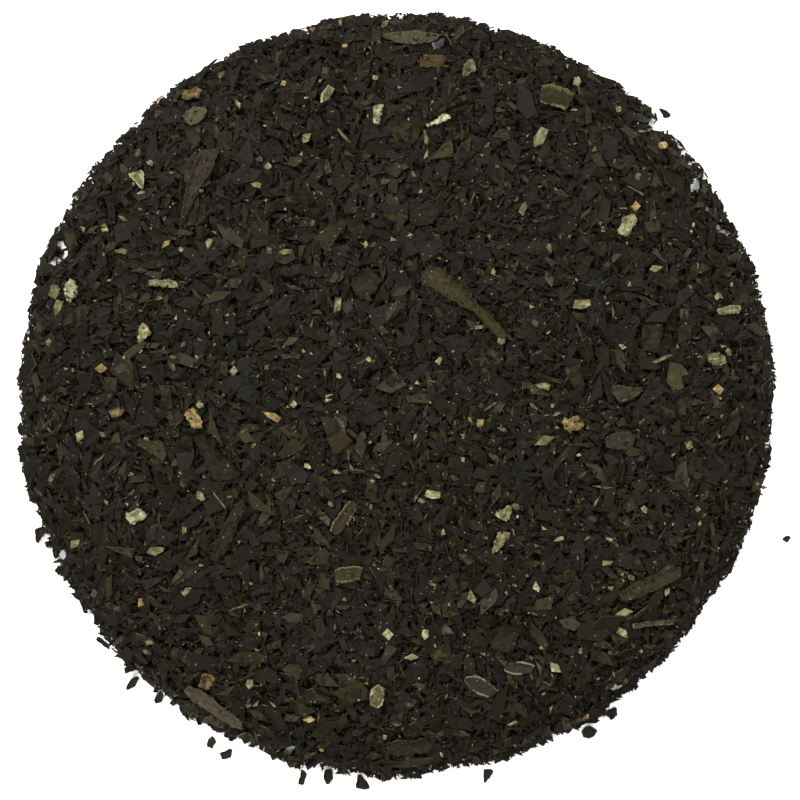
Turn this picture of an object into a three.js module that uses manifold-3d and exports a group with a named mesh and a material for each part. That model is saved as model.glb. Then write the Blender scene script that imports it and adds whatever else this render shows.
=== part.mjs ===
import * as THREE from "three";
import { mergeVertices } from "three/addons/utils/BufferGeometryUtils.js";
import Module from "manifold-3d";

// Dried wakame flakes: a round, loose bed of small angular chips of dried seaweed frond, about 100 mm
// across and 6 mm deep, level in the middle and sloping at the edge. Larger frond pieces and pale bits of
// midrib lie on it, and some flakes have spilled round it.
// Millimetres, +Z up. The origin is the middle of the bed, on the surface that it lies on.

const wasm = await Module();
wasm.setup();

// The bed as a whole.
const bedRadius = 49.1;
const edgeRaggedness = 0.35;
const middleHeight = 6.0;
const edgeHeight = 1.9;
const slopeWidth = 9;
const swellHeight = 0.3;

// The small chips that cover the top: one or more cells of a bent lattice each, about twice life size. They
// stand higher or lower by up to chipStep, and lean so that their furthest corner rises by chipRise, both
// more for the upturned ones. Heights are whole steps.
const chipPitch = 2.7;
const chipJitter = 0.3;
const latticeTurn = 0.4;
const rowWander = 2.2;
const chipStep = 0.45;
const chipRise = 0.8;
const upturnedShare = 0.16;
const upturnedStep = 0.4;
const pressedMargin = 0.9;
const leastChipTop = 1.1;
const heightStep = 0.05;

// The larger chips of the underside. This share of them lies on the surface and the rest stands clear of it by
// the least to the largest gap, but none within footRadius.
const lyingShare = 0.33;
const leastUnderGap = 0.15;
const underGap = 0.45;
const footRadius = 4;

// Flakes of any kind are at least this thick, and loose ones lie this far clear of what is under them.
const flakeThickness = 0.62;
const restingGap = 0.3;

// Points closer than this are one.
const weldDistance = 1e-3;

// Flakes that belong to the bed and stick out of its edge, unless a spilled one is closer than this.
const edgeFlakes = 32;
const spilledClearance = 1.6;

const frondLook = (color, roughness) => new THREE.MeshStandardMaterial({ color, roughness, metalness: 0 });
const looks = {
  dark: frondLook(0x2a2820, 0.6),
  olive: frondLook(0x4a4630, 0.6),
  brown: frondLook(0x4a3826, 0.6),
  grey: frondLook(0x45443a, 0.55),
  pale: frondLook(0xb4ab78, 0.7),
  tan: frondLook(0xc79a6a, 0.7),
};

// A random number from 0 to 1 that follows from the seed alone.
function randomFrom(seed) {
  let state = seed;
  return () => {
    state = (state + 0x6d2b79f5) | 0;
    let t = Math.imul(state ^ (state >>> 15), 1 | state);
    t = (t + Math.imul(t ^ (t >>> 7), 61 | t)) ^ t;
    return ((t ^ (t >>> 14)) >>> 0) / 4294967296;
  };
}

const between = (random, low, high) => low + (high - low) * random();
const pick = (random, list) => list[Math.floor(random() * list.length)];

// The edge of the bed wanders a little, and its top follows a level middle, a slope and a gentle swell.
const edgeAt = (angle) =>
  bedRadius + edgeRaggedness * (Math.sin(5 * angle + 1) + 0.6 * Math.sin(13 * angle) + 0.5 * Math.sin(29 * angle));

function bedTop(x, y) {
  const inside = THREE.MathUtils.clamp((bedRadius - Math.hypot(x, y)) / slopeWidth, 0, 1);
  const rise = Math.sin((inside * Math.PI) / 2);
  const swell = swellHeight * Math.sin(x / 9 + 1) * Math.cos(y / 11);
  return edgeHeight + (middleHeight - edgeHeight + swell) * rise;
}

function bedSlope(x, y) {
  const reach = 0.5;
  return new THREE.Vector2(
    (bedTop(x + reach, y) - bedTop(x - reach, y)) / (2 * reach),
    (bedTop(x, y + reach) - bedTop(x, y - reach)) / (2 * reach),
  );
}

// A closed geometry as a solid that can be joined and measured.
function solidOf(geometry) {
  const bare = geometry.clone();
  bare.deleteAttribute("normal");
  bare.deleteAttribute("uv");
  const merged = mergeVertices(bare, weldDistance);
  return new wasm.Manifold(
    new wasm.Mesh({
      numProp: 3,
      vertProperties: new Float32Array(merged.attributes.position.array),
      triVerts: new Uint32Array(merged.index.array),
    }),
  );
}

function geometryOf(solid) {
  const mesh = solid.getMesh();
  const points = new Float32Array(mesh.numVert * 3);
  for (let i = 0; i < mesh.numVert; i += 1) {
    points.set(mesh.vertProperties.subarray(i * mesh.numProp, i * mesh.numProp + 3), i * 3);
  }
  const geometry = new THREE.BufferGeometry();
  geometry.setAttribute("position", new THREE.BufferAttribute(points, 3));
  geometry.setIndex(new THREE.BufferAttribute(mesh.triVerts, 1));
  return geometry.toNonIndexed();
}

// The corners of a square lattice, bent so that its rows wander, and drawn in to the edge of the bed.
// A cell is given by its place in this list of rows, and is part of the bed if its middle is.
const latticeHalf = Math.ceil(bedRadius / chipPitch) + 2;
const cellsAcross = 2 * latticeHalf;

function latticeCorners() {
  const random = randomFrom(7);
  const corners = [];
  for (let row = -latticeHalf; row <= latticeHalf; row += 1) {
    const line = [];
    for (let column = -latticeHalf; column <= latticeHalf; column += 1) {
      const place = new THREE.Vector2(
        (column + between(random, -chipJitter, chipJitter)) * chipPitch,
        (row + between(random, -chipJitter, chipJitter)) * chipPitch,
      ).rotateAround(new THREE.Vector2(), latticeTurn);
      place.x += rowWander * Math.sin(place.y / 8 + 0.7);
      place.y += rowWander * Math.sin(place.x / 9 + 2);
      line.push(place);
    }
    corners.push(line);
  }
  return corners;
}

const corners = latticeCorners();
const middleOf = (places) => places.reduce((sum, p) => sum.add(p), new THREE.Vector2()).divideScalar(places.length);

// The corners of a block of cells, anticlockwise.
function outlineOf(row, column, tall, wide) {
  const outline = [];
  for (let i = 0; i < wide; i += 1) outline.push(corners[row][column + i]);
  for (let i = 0; i < tall; i += 1) outline.push(corners[row + i][column + wide]);
  for (let i = wide; i > 0; i -= 1) outline.push(corners[row + tall][column + i]);
  for (let i = tall; i > 0; i -= 1) outline.push(corners[row + i][column]);
  return outline;
}

const bedCells = new Set();
for (let cell = 0; cell < cellsAcross ** 2; cell += 1) {
  const middle = middleOf(outlineOf(Math.floor(cell / cellsAcross), cell % cellsAcross, 1, 1));
  if (middle.length() < edgeAt(middle.angle())) bedCells.add(cell);
}
for (const corner of corners.flat()) corner.clampLength(0, edgeAt(corner.angle()));

// Shares the bed's cells out among chips: blocks of cells, each of one of the sizes given, or of one cell
// where no more are free. Returns the chip of each cell.
function shareOut(sizes, random) {
  const chipOf = new Map();
  const order = [...bedCells].map((cell) => [random(), cell]).sort((one, other) => one[0] - other[0]);
  for (const [, cell] of order) {
    if (chipOf.has(cell)) continue;
    const row = Math.floor(cell / cellsAcross);
    const column = cell % cellsAcross;
    const fits = ([tall, wide]) => {
      for (let i = 0; i < tall * wide; i += 1) {
        const other = cell + Math.floor(i / wide) * cellsAcross + (i % wide);
        if (!bedCells.has(other) || chipOf.has(other)) return false;
      }
      return true;
    };
    const wanted = pick(random, sizes);
    const [tall, wide] = fits(wanted) ? wanted : [1, 1];
    const outline = outlineOf(row, column, tall, wide);
    const chip = { outline, middle: middleOf(outline), heights: new Map() };
    for (let i = 0; i < tall * wide; i += 1) {
      chipOf.set(cell + Math.floor(i / wide) * cellsAcross + (i % wide), chip);
    }
  }
  return chipOf;
}

// The sides of a cell, anticlockwise, with the cell across each.
function sidesOf(cell) {
  const outline = outlineOf(Math.floor(cell / cellsAcross), cell % cellsAcross, 1, 1);
  const across = [cell - cellsAcross, cell + 1, cell + cellsAcross, cell - 1];
  return across.map((beyond, i) => ({ beyond, from: outline[i], to: outline[(i + 1) % 4] }));
}

// Lowers corners of chips until no two neighbours cross along a shared side, and until no two chips that are
// opposite at a corner both stand above the two between them, because these would touch along a bare edge.
function settle(chipOf) {
  let changed = true;
  const level = (chip, corner, height) => {
    chip.heights.set(corner, height);
    changed = true;
  };
  while (changed) {
    changed = false;
    for (const [cell, chip] of chipOf) {
      for (const { beyond, from, to } of sidesOf(cell)) {
        const other = chipOf.get(beyond);
        if (!other || other === chip) continue;
        const [here, there] = [from, to].map((corner) => chip.heights.get(corner) - other.heights.get(corner));
        if (here * there >= 0) continue;
        const corner = Math.abs(here) < Math.abs(there) ? from : to;
        const lower = Math.min(chip.heights.get(corner), other.heights.get(corner));
        level(chip, corner, lower);
        level(other, corner, lower);
      }
    }
    for (let cell = 0; cell < cellsAcross * (cellsAcross - 1); cell += 1) {
      const round = [cell, cell + 1, cell + 1 + cellsAcross, cell + cellsAcross].map((one) => chipOf.get(one));
      const corner = corners[Math.floor(cell / cellsAcross) + 1][(cell % cellsAcross) + 1];
      const height = (i) => (round[i % 4] ? round[i % 4].heights.get(corner) : -Infinity);
      for (const first of [0, 1]) {
        const beside = Math.max(height(first + 1), height(first + 3));
        const lower = height(first) < height(first + 2) ? first : first + 2;
        if (height(lower) > beside && beside > -Infinity) level(round[lower], corner, beside);
      }
    }
  }
}

const toStep = (height) => Math.round(height / heightStep) * heightStep;

// The covering of small chips. Those under a large piece lie flat and low, as if pressed down by it.
function topChips(pressed) {
  const random = randomFrom(11);
  const chipOf = shareOut([[1, 1], [1, 2], [2, 1], [1, 2], [2, 1], [1, 3], [3, 1], [2, 2]], random);
  for (const chip of new Set(chipOf.values())) {
    const places = [chip.middle, ...chip.outline];
    const low = pressed.some((piece) => places.some((place) => piece.covers(place, pressedMargin)));
    const upturned = random() < upturnedShare ? 1 : 0;
    const step = low ? -chipStep : between(random, -chipStep, chipStep) + upturned * upturnedStep;
    const reach = Math.max(...chip.outline.map((corner) => corner.distanceTo(chip.middle)));
    const rise = low ? 0 : chipRise + upturned * upturnedStep;
    const slope = new THREE.Vector2(rise / reach, 0).rotateAround(new THREE.Vector2(), random() * 2 * Math.PI);
    slope.add(bedSlope(chip.middle.x, chip.middle.y));
    for (const corner of chip.outline) {
      const height = bedTop(chip.middle.x, chip.middle.y) + step + slope.dot(corner.clone().sub(chip.middle));
      chip.heights.set(corner, toStep(Math.max(leastChipTop, height)));
    }
  }
  settle(chipOf);
  return chipOf;
}

// The underside, as depths: the chips round the middle, and one in three elsewhere, lie on the surface.
function underChips() {
  const random = randomFrom(23);
  const chipOf = shareOut([[3, 3], [2, 3], [3, 2], [2, 2]], random);
  for (const chip of new Set(chipOf.values())) {
    const lies = chip.middle.length() < footRadius + chipPitch || random() < lyingShare;
    const lift = lies ? 0 : toStep(between(random, leastUnderGap, underGap));
    for (const corner of chip.outline) chip.heights.set(corner, -lift);
  }
  settle(chipOf);
  return chipOf;
}

// One closed surface from the top chips, the under chips, and the upright walls between and round them.
function chipBed(tops, unders) {
  const faces = [];
  const at = (corner, height) => new THREE.Vector3(corner.x, corner.y, height);
  const topOf = (cell, corner) => tops.get(cell).heights.get(corner);
  const bottomOf = (cell, corner) => 0 - unders.get(cell).heights.get(corner);

  for (const [chips, sign] of [[tops, 1], [unders, -1]]) {
    for (const { outline, heights } of new Set(chips.values())) {
      for (const [a, b, c] of THREE.ShapeUtils.triangulateShape(outline, [])) {
        const points = [a, b, c].map((i) => at(outline[i], sign * heights.get(outline[i])));
        faces.push(...(sign > 0 ? points : points.reverse()));
      }
    }
  }

  // Every height at which some chip has a point on the upright line through a corner.
  const heightsAt = new Map(corners.flat().map((corner) => [corner, new Set()]));
  for (const { heights } of tops.values()) heights.forEach((height, corner) => heightsAt.get(corner).add(height));
  for (const { heights } of unders.values()) heights.forEach((depth, corner) => heightsAt.get(corner).add(0 - depth));
  const pointsBetween = (corner, low, high) =>
    [...heightsAt.get(corner)].filter((height) => height >= low && height <= high)
      .sort((one, other) => one - other).map((height) => at(corner, height));

  const addWall = (from, to, lows, highs) => {
    const left = pointsBetween(from, lows[0], highs[0]);
    const right = pointsBetween(to, lows[1], highs[1]);
    while (left.length + right.length > 2) {
      if (right.length === 1 || (left.length > 1 && left[1].z < right[1].z)) {
        faces.push(left[0], right[0], left[1]);
        left.shift();
      } else {
        faces.push(left[0], right[0], right[1]);
        right.shift();
      }
    }
  };
  for (const cell of bedCells) {
    for (const { beyond, from, to } of sidesOf(cell)) {
      const ends = [from, to];
      const top = ends.map((corner) => topOf(cell, corner));
      const bottom = ends.map((corner) => bottomOf(cell, corner));
      if (!bedCells.has(beyond)) {
        addWall(from, to, bottom, top);
        continue;
      }
      if (tops.get(beyond) !== tops.get(cell)) {
        const topBeyond = ends.map((corner) => topOf(beyond, corner));
        if (top[0] >= topBeyond[0] && top[1] >= topBeyond[1]) addWall(from, to, topBeyond, top);
      }
      if (unders.get(beyond) !== unders.get(cell)) {
        const bottomBeyond = ends.map((corner) => bottomOf(beyond, corner));
        if (bottom[0] <= bottomBeyond[0] && bottom[1] <= bottomBeyond[1]) addWall(from, to, bottom, bottomBeyond);
      }
    }
  }
  return new THREE.BufferGeometry().setFromPoints(faces);
}

// A thin flake along X: stations along its length, each with its own width and shift to one side. It is
// arched, twisted and, if it is bent, curved to one side. Both faces are split into triangles alike.
function flakeGeometry({ length, width, arch = 0, twist = 0, bend = 0, shape }) {
  const points = [];
  const faces = [];
  shape.forEach(([wide, shift], station) => {
    const along = station / (shape.length - 1) - 0.5;
    const middle = new THREE.Vector3(
      along * length,
      shift * width + bend * (1 - 4 * along * along),
      arch * (1 - 4 * along * along),
    );
    const roll = twist * along;
    const side = new THREE.Vector3(0, Math.cos(roll), Math.sin(roll)).multiplyScalar((wide * width) / 2);
    const up = new THREE.Vector3(0, -Math.sin(roll), Math.cos(roll)).multiplyScalar(flakeThickness / 2);
    for (const [across, over] of [[1, 1], [-1, 1], [-1, -1], [1, -1]]) {
      points.push(middle.clone().addScaledVector(side, across).addScaledVector(up, over));
    }
  });
  const last = (shape.length - 1) * 4;
  for (let first = 0; first < last; first += 4) {
    const [a, b, c, d] = [first, first + 1, first + 2, first + 3];
    faces.push(a, b, b + 4, a, b + 4, a + 4);
    faces.push(b, c, c + 4, b, c + 4, b + 4);
    faces.push(d, c + 4, c, d, d + 4, c + 4);
    faces.push(a, a + 4, d + 4, a, d + 4, d);
  }
  faces.push(0, 2, 1, 0, 3, 2, last, last + 1, last + 2, last, last + 2, last + 3);
  const geometry = new THREE.BufferGeometry().setFromPoints(points);
  geometry.setIndex(faces);
  return geometry;
}

// Broken outlines that the flakes take: [width, sideways shift] at each station, as shares of the width.
const shapes = {
  shard: [[0.35, 0.2], [1, 0], [0.85, -0.1], [0.3, -0.25]],
  block: [[0.75, 0.1], [1, 0], [0.8, -0.05]],
  wedge: [[0.2, -0.3], [0.7, -0.1], [1, 0.05]],
  halfMoon: [[0.25, 0], [0.9, 0.25], [1, 0.28], [0.3, 0.05]],
  leaf: [[0.15, 0], [0.75, 0.05], [1, 0], [0.7, -0.06], [0.2, 0]],
  strip: [[0.55, 0.15], [0.9, 0.05], [1, 0], [0.85, -0.08], [0.7, 0], [0.35, 0.1]],
  stick: [[0.8, 0], [1, 0.1], [0.7, 0]],
};

// Flakes that stick out of the edge, the lowest of them flat on the surface. None grows towards a spilled one.
function flakesAtEdge(spilled) {
  const random = randomFrom(53);
  const solids = [];
  for (let i = 0; i < edgeFlakes; i += 1) {
    const angle = ((i + between(random, -0.3, 0.3)) / edgeFlakes) * 2 * Math.PI;
    const length = between(random, 2.8, 4.6);
    const width = length * between(random, 0.45, 0.75);
    const shape = shapes[pick(random, ["shard", "block", "wedge", "leaf"])];
    const flake = flakeGeometry({ length, width, shape });
    const lift = random() < 0.5 ? 0 : between(random, 0.1, 0.9);
    const reach = edgeAt(angle) - length / 2 + between(random, 0.3, 1.1);
    flake.rotateZ(angle + between(random, -0.7, 0.7));
    flake.translate(reach * Math.cos(angle), reach * Math.sin(angle), flakeThickness / 2 + lift);
    const tip = new THREE.Vector2(Math.cos(angle), Math.sin(angle)).multiplyScalar(reach + length / 2);
    if (!spilled.some((piece) => piece.covers(tip, spilledClearance))) solids.push(solidOf(flake));
  }
  return solids;
}

// A loose piece: its look, where it lies, its length, width and turn in degrees, its shape and its arch.
function loosePiece(name, look, x, y, length, width, turn, shape, { arch = 0.3, bend = 0, twist = 0 } = {}) {
  const place = new THREE.Vector2(x, y);
  const heading = THREE.MathUtils.degToRad(turn);
  const covers = (point, margin = 0.8) => {
    const from = point.clone().sub(place).rotateAround(new THREE.Vector2(), -heading);
    return Math.abs(from.x) < length / 2 + margin && Math.abs(from.y) < width / 2 + Math.abs(bend) + margin;
  };
  const geometry = flakeGeometry({ length, width, arch, bend, twist, shape: shapes[shape] });
  return { name, look: looks[look], place, heading, geometry, covers };
}

// Frond pieces that are large enough to be told apart on the bed.
const frondPieces = [
  loosePiece("frond_strip_middle", "olive", 9.3, 11.2, 13.6, 2.3, -38, "strip", { arch: 0.5, twist: 0.3 }),
  loosePiece("frond_strip_left", "dark", -24.3, -9.2, 7.4, 3, -48, "strip", { bend: 0.4 }),
  loosePiece("frond_strip_upper_left", "dark", -26, 27.2, 9.8, 2.5, 64, "strip", { bend: 0.5 }),
  loosePiece("frond_strip_lower_left", "olive", -22.2, -18, 8.8, 2, 64, "strip", { arch: 0.5 }),
  loosePiece("frond_strip_lower_right", "dark", 33.2, -24.9, 9, 2, 21, "strip", { bend: -0.4 }),
  loosePiece("frond_strip_lower_edge", "grey", -24.4, -42.2, 9.2, 2, -36, "strip", { bend: 0.6 }),
  loosePiece("frond_leaf_top", "grey", 1.7, 46.4, 7.4, 2, -2, "leaf", { arch: 0.4 }),
  loosePiece("frond_leaf_low", "olive", 10.7, -38.7, 4.4, 2.1, -25, "leaf"),
  loosePiece("frond_leaf_low_right", "grey", 15.7, -36.2, 3.9, 1.8, -5, "leaf"),
  loosePiece("frond_leaf_round", "dark", 13.9, -32.4, 4, 3.4, 20, "leaf"),
  loosePiece("frond_chip_top", "brown", 4.5, 43.1, 3.4, 1.8, 4, "block"),
  loosePiece("frond_chip_upper_right", "grey", 20.6, 38.3, 4.3, 2.8, -8, "block"),
  loosePiece("frond_chip_red_brown", "brown", 3.3, 23.2, 3.9, 3, 8, "block"),
  loosePiece("frond_chip_upper_middle", "olive", 5.1, 31.2, 3.7, 1.7, 25, "wedge"),
  loosePiece("frond_chip_centre", "olive", -4, 13.5, 3.8, 3.2, 30, "halfMoon"),
  loosePiece("frond_chip_right", "grey", 30.4, -0.3, 3.9, 2.3, 190, "wedge"),
  loosePiece("frond_chip_left", "olive", -32.6, -7, 4.2, 2.4, -25, "wedge"),
  loosePiece("frond_chip_rimmed", "olive", -7.2, -16.6, 5, 1.9, 56, "block", { arch: 0.5 }),
  loosePiece("frond_chip_pale_rimmed", "olive", -6.6, -24, 3.6, 2, 5, "block"),
  loosePiece("frond_chip_right_high", "olive", 33.2, 7, 3.7, 2.7, 80, "block"),
  loosePiece("frond_chip_right_low", "grey", 29.1, -7, 4.1, 2.3, 10, "halfMoon"),
  loosePiece("frond_chip_right_edge", "olive", 43.4, -4.6, 3.9, 1.6, 50, "leaf"),
  loosePiece("frond_chip_upper_left", "grey", -26.3, 35.8, 3, 2.3, 40, "halfMoon"),
  loosePiece("frond_chip_lower_edge", "brown", 1.6, -46.6, 6.4, 2.4, 4, "shard"),
];

// Pale and tan bits of the frond's midrib, thicker and blunter than the flakes.
const stemBits = [
  loosePiece("stem_bit_top", "pale", 9.2, 42.2, 2.1, 1.9, 40, "block"),
  loosePiece("stem_bit_upper_middle", "pale", -2.8, 36.2, 2.6, 1.1, 80, "block"),
  loosePiece("stem_bit_silvery", "pale", 5.2, 35.4, 3.2, 0.9, 25, "stick"),
  loosePiece("stem_bit_upper_left", "tan", -27.4, 39.2, 2.3, 1.4, 8, "block"),
  loosePiece("stem_bit_left_high", "pale", -34, 27.9, 2.5, 1.6, -60, "wedge"),
  loosePiece("stem_stick_left", "pale", -30.7, 14, 3.7, 1, -5, "stick"),
  loosePiece("stem_bit_leafy_left", "pale", -43.1, 13.2, 2.9, 1.7, 80, "block"),
  loosePiece("stem_bit_round_left", "pale", -33.5, 7.4, 2.2, 1.8, 60, "block"),
  loosePiece("stem_bit_pink_left", "tan", -26.8, -3.7, 2.7, 1.6, -65, "shard"),
  loosePiece("stem_bit_low_left", "pale", -34.4, -16.4, 2.3, 1.7, 30, "block"),
  loosePiece("stem_bit_cream_right", "pale", 29.8, 21.8, 2.9, 1.8, 70, "shard"),
  loosePiece("stem_stick_right", "pale", 43.4, 10.5, 3.4, 1.1, 5, "stick"),
  loosePiece("stem_bit_oval_right", "pale", 41.6, 4.1, 2.4, 1.5, -4, "block"),
  loosePiece("stem_bit_star_right", "tan", 22.8, -4.3, 2.5, 2, 15, "block"),
  loosePiece("stem_bit_low_middle", "pale", 13.9, -16, 2, 1.9, 50, "block"),
  loosePiece("stem_bit_striped", "pale", 12.9, -19.9, 3, 1.3, 60, "wedge"),
  loosePiece("stem_bit_rimmed_low", "pale", -2.8, -39.8, 2.9, 1.9, 70, "block"),
  loosePiece("stem_bit_orange_low", "tan", -25.4, -38.2, 2.2, 1.6, 70, "wedge"),
  loosePiece("stem_stick_low_right", "pale", 33.4, -30.4, 5.7, 0.8, 3, "stick"),
];

// Flakes that have spilled and lie flat on the surface, clear of the bed.
const spilledFlakes = [
  loosePiece("spilled_flake_1", "dark", -9.1, -51.5, 2.1, 1.3, 80, "halfMoon", { arch: 0 }),
  loosePiece("spilled_flake_2", "dark", -4.9, -52, 2.1, 1.8, -80, "wedge", { arch: 0 }),
  loosePiece("spilled_flake_3", "dark", -12.8, -51.6, 1.9, 0.8, 75, "stick", { arch: 0 }),
  loosePiece("spilled_flake_4", "dark", -23, -48.5, 1.7, 1.1, 25, "block", { arch: 0 }),
  loosePiece("spilled_flake_5", "olive", -25, -46.9, 1.5, 1, 70, "block", { arch: 0 }),
  loosePiece("spilled_flake_6", "dark", -32.1, -40.9, 1.7, 1.1, 60, "leaf", { arch: 0 }),
  loosePiece("spilled_flake_7", "dark", -35.6, -39, 2.3, 0.9, 45, "leaf", { arch: 0 }),
  loosePiece("spilled_flake_8", "olive", -39.5, -33.6, 2.1, 0.7, -35, "stick", { arch: 0 }),
  loosePiece("spilled_flake_9", "olive", -48.2, -19.3, 2.3, 1.6, 70, "wedge", { arch: 0 }),
  loosePiece("spilled_flake_10", "dark", 28.6, -43, 1.6, 1.2, 45, "block", { arch: 0 }),
  loosePiece("spilled_flake_11", "dark", 25.5, -45.8, 2, 1.6, 20, "halfMoon", { arch: 0 }),
  loosePiece("spilled_flake_12", "dark", 11.6, -51.5, 2, 1.3, 65, "wedge", { arch: 0 }),
  loosePiece("spilled_flake_13", "dark", 51.8, -19.7, 0.9, 0.8, 60, "block", { arch: 0 }),
  loosePiece("spilled_flake_14", "dark", 35.5, 37.1, 1.7, 1, -45, "shard", { arch: 0 }),
];

// The highest point over each small square of the surface, to set things down on.
const gridStep = 0.25;
const gridHalf = 224;
const heights = new Float32Array((2 * gridHalf + 1) ** 2);
const gridIndex = (column, row) => (row + gridHalf) * (2 * gridHalf + 1) + column + gridHalf;

function addToHeights(geometry) {
  const points = geometry.index ? geometry.toNonIndexed().attributes.position : geometry.attributes.position;
  const corners = [new THREE.Vector3(), new THREE.Vector3(), new THREE.Vector3()];
  const triangle = new THREE.Triangle();
  const shares = new THREE.Vector3();
  for (let first = 0; first < points.count; first += 3) {
    corners.forEach((corner, i) => corner.fromBufferAttribute(points, first + i));
    const xs = corners.map((corner) => corner.x / gridStep);
    const ys = corners.map((corner) => corner.y / gridStep);
    triangle.set(...corners.map((corner) => new THREE.Vector3(corner.x, corner.y, 0)));
    if (triangle.getArea() < 1e-4) continue;
    for (let row = Math.floor(Math.min(...ys)); row <= Math.ceil(Math.max(...ys)); row += 1) {
      for (let column = Math.floor(Math.min(...xs)); column <= Math.ceil(Math.max(...xs)); column += 1) {
        triangle.getBarycoord(new THREE.Vector3(column * gridStep, row * gridStep, 0), shares);
        if (Math.min(shares.x, shares.y, shares.z) < -0.25) continue;
        const height = corners[0].z * shares.x + corners[1].z * shares.y + corners[2].z * shares.z;
        const highest = Math.max(corners[0].z, corners[1].z, corners[2].z);
        const index = gridIndex(column, row);
        heights[index] = Math.max(heights[index], Math.min(height, highest));
      }
    }
  }
}

// Sets a loose piece down on what is under it, leaning with the bed, and adds it to the heights.
function meshOf(piece, liesOnBed) {
  const geometry = piece.geometry;
  const slope = bedSlope(piece.place.x, piece.place.y);
  geometry.rotateZ(piece.heading);
  if (liesOnBed) geometry.rotateY(-Math.atan(slope.x)).rotateX(Math.atan(slope.y));
  geometry.translate(piece.place.x, piece.place.y, 0);
  geometry.computeBoundingBox();
  let lift = -geometry.boundingBox.min.z;
  if (liesOnBed) {
    lift = -Infinity;
    const { min, max } = geometry.boundingBox;
    for (let row = Math.floor(min.y / gridStep); row <= max.y / gridStep; row += 1) {
      for (let column = Math.floor(min.x / gridStep); column <= max.x / gridStep; column += 1) {
        const x = column * gridStep;
        const y = row * gridStep;
        if (!piece.covers(new THREE.Vector2(x, y), 0.15)) continue;
        const underside = slope.x * (x - piece.place.x) + slope.y * (y - piece.place.y) - flakeThickness / 2;
        lift = Math.max(lift, heights[gridIndex(column, row)] - underside + restingGap);
      }
    }
  }
  geometry.translate(0, 0, lift);
  addToHeights(geometry);
  const mesh = new THREE.Mesh(geometry, piece.look);
  mesh.name = piece.name;
  return mesh;
}

// Joins flakes into one body. Welding it closes pinholes, and keeping only the largest closed surface then
// fills the hollows that are sealed between flakes, and drops a flake that touches nothing.
function joined(flakes) {
  let body = wasm.Manifold.union(flakes);
  let surfaces;
  do {
    surfaces = solidOf(geometryOf(body)).decompose();
    body = surfaces.reduce((largest, one) => (one.volume() > largest.volume() ? one : largest));
  } while (surfaces.length > 1);
  return body;
}

const lying = [...frondPieces, ...stemBits];
const chips = solidOf(chipBed(topChips(lying), underChips()));
const bedMesh = new THREE.Mesh(geometryOf(joined([chips, ...flakesAtEdge(spilledFlakes)])), looks.dark);
bedMesh.name = "flake_bed";
addToHeights(bedMesh.geometry);

const wakameFlakes = new THREE.Group();
wakameFlakes.add(bedMesh);
for (const piece of lying) wakameFlakes.add(meshOf(piece, true));
for (const piece of spilledFlakes) wakameFlakes.add(meshOf(piece, false));

export default wakameFlakes;
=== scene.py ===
import math
import random

import bmesh
import bpy
import numpy as np
from mathutils import Matrix, Vector


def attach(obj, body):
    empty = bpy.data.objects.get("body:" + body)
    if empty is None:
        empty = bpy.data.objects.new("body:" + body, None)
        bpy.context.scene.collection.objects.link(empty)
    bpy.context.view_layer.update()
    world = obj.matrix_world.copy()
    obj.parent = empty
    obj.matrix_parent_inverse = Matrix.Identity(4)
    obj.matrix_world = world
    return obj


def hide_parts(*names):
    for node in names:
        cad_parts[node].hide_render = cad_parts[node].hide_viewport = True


# A round bed of dried wakame flakes, seen from above. Sizes are in millimetres until a piece is finished.
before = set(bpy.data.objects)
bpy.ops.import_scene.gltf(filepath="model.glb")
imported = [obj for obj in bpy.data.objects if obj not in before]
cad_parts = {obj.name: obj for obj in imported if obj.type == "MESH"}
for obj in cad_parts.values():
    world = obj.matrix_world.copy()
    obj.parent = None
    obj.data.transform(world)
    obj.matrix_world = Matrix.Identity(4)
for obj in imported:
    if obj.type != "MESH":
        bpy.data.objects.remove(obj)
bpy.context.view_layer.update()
mm = 0.001
print("frame:", len(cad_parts), "nodes")


# Camera and light

view = {
    "centre": (0.13, -1.19),  # what the middle of the picture looks at
    "height": 297,
    "lens": 100,
}
softLight = {
    "skyColour": (1.0, 0.99, 0.97, 1),
    "skyStrength": 0.55,
    # place, width, watts
    "lamps": [((-190, 200, 370), 240, 3.6), ((240, 100, 330), 260, 1.4), ((-60, -260, 300), 260, 1.0)],
}


def addCamera():
    bpy.ops.object.camera_add(location=(view["centre"][0] * mm, view["centre"][1] * mm, view["height"] * mm))
    camera = bpy.context.object
    camera.data.lens = view["lens"]
    camera.data.clip_start = 0.01
    camera.data.clip_end = 5
    bpy.context.scene.camera = camera


def addLights():
    world = bpy.data.worlds.new("studio")
    world.use_nodes = True
    bpy.context.scene.world = world
    sky = world.node_tree.nodes["Background"]
    sky.inputs["Color"].default_value = softLight["skyColour"]
    sky.inputs["Strength"].default_value = softLight["skyStrength"]
    for place, width, watts in softLight["lamps"]:
        spot = Vector(place) * mm
        bpy.ops.object.light_add(type="AREA", location=spot)
        lamp = bpy.context.object
        lamp.rotation_euler = (-spot).to_track_quat("-Z", "Y").to_euler()
        lamp.data.shape = "DISK"
        lamp.data.size = width * mm
        lamp.data.energy = watts
    bpy.context.scene.view_settings.view_transform = "Standard"


def plainFloor():
    material = bpy.data.materials.new("floor")
    material.use_nodes = True
    surface = material.node_tree.nodes["Principled BSDF"]
    surface.inputs["Base Color"].default_value = (0.93, 0.93, 0.92, 1)
    surface.inputs["Roughness"].default_value = 0.9
    surface.inputs["Specular IOR Level"].default_value = 0.1
    bpy.ops.mesh.primitive_plane_add(size=4, location=(0, 0, -0.0001))
    floor = bpy.context.object
    floor.name = "floor"
    floor.data.materials.append(material)


# Finishes. Each flake carries its own tone and edges as attributes, and a map of its own length and width.

def screen(red, green, blue):
    shares = [c / 255 for c in (red, green, blue)]
    return tuple(s / 12.92 if s <= 0.04045 else ((s + 0.055) / 1.055) ** 2.4 for s in shares) + (1,)


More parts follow.
